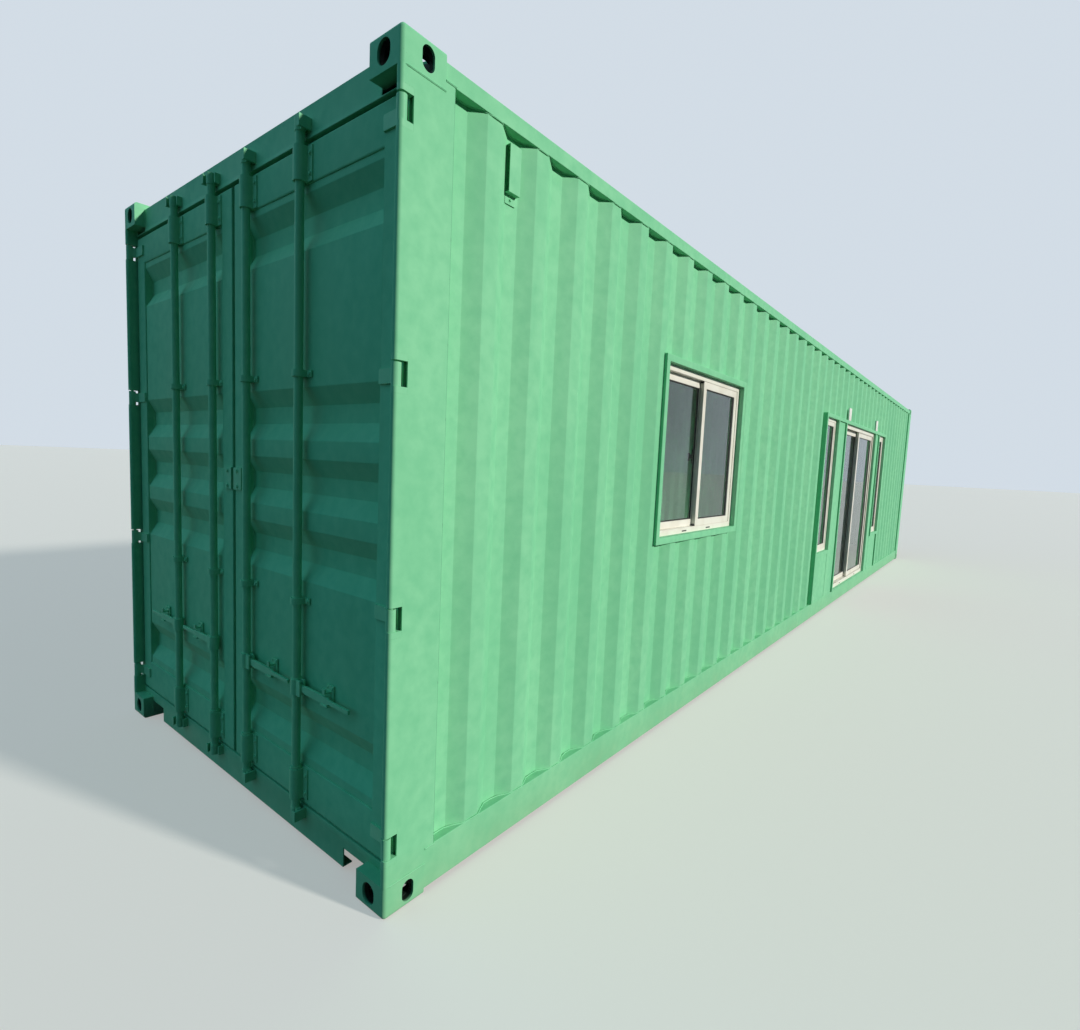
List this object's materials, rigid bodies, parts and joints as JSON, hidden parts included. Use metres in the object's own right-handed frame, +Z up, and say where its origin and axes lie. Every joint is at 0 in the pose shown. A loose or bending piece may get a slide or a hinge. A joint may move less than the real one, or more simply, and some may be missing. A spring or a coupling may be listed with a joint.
{
  "type": "shipping container cabin",
  "caption": "High-cube shipping container cabin with double cargo doors on locking bars, a sliding window and a glazed sliding door between tall windows.",
  "frame": {"origin": "centre of the four bottom corner apertures, at the level the castings stand on", "axes": "+X along the length from the cargo doors to the blind end, -Y out through the window and glazed door, +Z up"},
  "size_m": [12.192, 2.448, 2.896],
  "materials": {
    "green_paint": "gloss alkyd paint over folded weathering steel",
    "green_casting": "gloss alkyd paint over cast steel",
    "green_gear": "gloss alkyd paint over forged and rolled door gear",
    "white_aluminium": "cream-white powder coat",
    "glass": "clear float glass",
    "rubber": "extruded rubber seal",
    "wood": "phenolic-faced hardwood plywood",
    "plastic": "white moulded plastic"
  },
  "bodies": {
    "container": {"blind_end_posts": "green_paint", "blind_end_rails": "green_paint", "blind_end_wall": "green_paint", "bottom_side_rails": "green_paint", "cam_keepers": "green_gear", "corner_castings": "green_casting", "door_bay_frame": "green_paint", "door_bay_panels": "green_paint", "door_end_posts": "green_paint", "door_header": "green_paint", "door_sill": "green_paint", "floor_boards": "wood", "floor_cross_members": "green_paint", "front_wall_blind_end": "green_paint", "front_wall_door_end": "green_paint", "front_wall_middle": "green_paint", "front_wall_over_bay": "green_paint", "front_wall_over_window": "green_paint", "front_wall_under_window": "green_paint", "glazed_door_frame": "white_aluminium", "gooseneck_tunnel": "green_paint", "hinge_pins": "green_gear", "rear_wall": "green_paint", "roof_panel": "green_paint", "top_side_rails": "green_paint", "vent_covers": "green_gear", "wall_boxes": "plastic", "window_frames": "white_aluminium", "window_glass": "glass", "window_sashes": "white_aluminium", "window_surround": "green_paint"},
    "left_cargo_door": {"left_cargo_door_fittings": "green_gear", "left_cargo_door_frame": "green_paint", "left_cargo_door_gasket": "rubber", "left_cargo_door_hinges": "green_gear", "left_cargo_door_panel": "green_paint"},
    "left_glazed_leaf": {"left_glazed_leaf": "white_aluminium", "left_glazed_leaf_glass": "glass"},
    "left_inner_bar": {"left_inner_handle": "green_gear", "left_inner_locking_bar": "green_gear"},
    "left_outer_bar": {"left_outer_handle": "green_gear", "left_outer_locking_bar": "green_gear"},
    "right_cargo_door": {"right_cargo_door_fittings": "green_gear", "right_cargo_door_frame": "green_paint", "right_cargo_door_gasket": "rubber", "right_cargo_door_hinges": "green_gear", "right_cargo_door_panel": "green_paint"},
    "right_glazed_leaf": {"right_glazed_leaf": "white_aluminium", "right_glazed_leaf_glass": "glass"},
    "right_inner_bar": {"right_inner_handle": "green_gear", "right_inner_locking_bar": "green_gear"},
    "right_outer_bar": {"right_outer_handle": "green_gear", "right_outer_locking_bar": "green_gear"}
  },
  "joints": [
    {"name": "right_cargo_door_swing", "type": "hinge", "parent": "container", "child": "right_cargo_door", "pos_m": [-6.0785, -1.2015, 0.162], "axis": [0, 0, 1], "range_deg": [0, 265]},
    {"name": "left_cargo_door_swing", "type": "hinge", "parent": "container", "child": "left_cargo_door", "pos_m": [-6.0785, 1.2015, 0.162], "axis": [0, 0, -1], "range_deg": [0, 265]},
    {"name": "right_outer_bar_turn", "type": "hinge", "parent": "right_cargo_door", "child": "right_outer_bar", "pos_m": [-6.07, -0.594, 0.658], "axis": [0, 0, 1], "range_deg": [-100, 0]},
    {"name": "right_inner_bar_turn", "type": "hinge", "parent": "right_cargo_door", "child": "right_inner_bar", "pos_m": [-6.07, -0.167, 0.658], "axis": [0, 0, 1], "range_deg": [-100, 0]},
    {"name": "left_outer_bar_turn", "type": "hinge", "parent": "left_cargo_door", "child": "left_outer_bar", "pos_m": [-6.07, 0.594, 0.658], "axis": [0, 0, -1], "range_deg": [-100, 0]},
    {"name": "left_inner_bar_turn", "type": "hinge", "parent": "left_cargo_door", "child": "left_inner_bar", "pos_m": [-6.07, 0.167, 0.658], "axis": [0, 0, -1], "range_deg": [-100, 0]},
    {"name": "right_glazed_leaf_slide", "type": "slide", "parent": "container", "child": "right_glazed_leaf", "axis": [-1, 0, 0], "range_m": [0, 0.905]},
    {"name": "left_glazed_leaf_slide", "type": "slide", "parent": "container", "child": "left_glazed_leaf", "axis": [1, 0, 0], "range_m": [0, 0.905]}
  ]
}
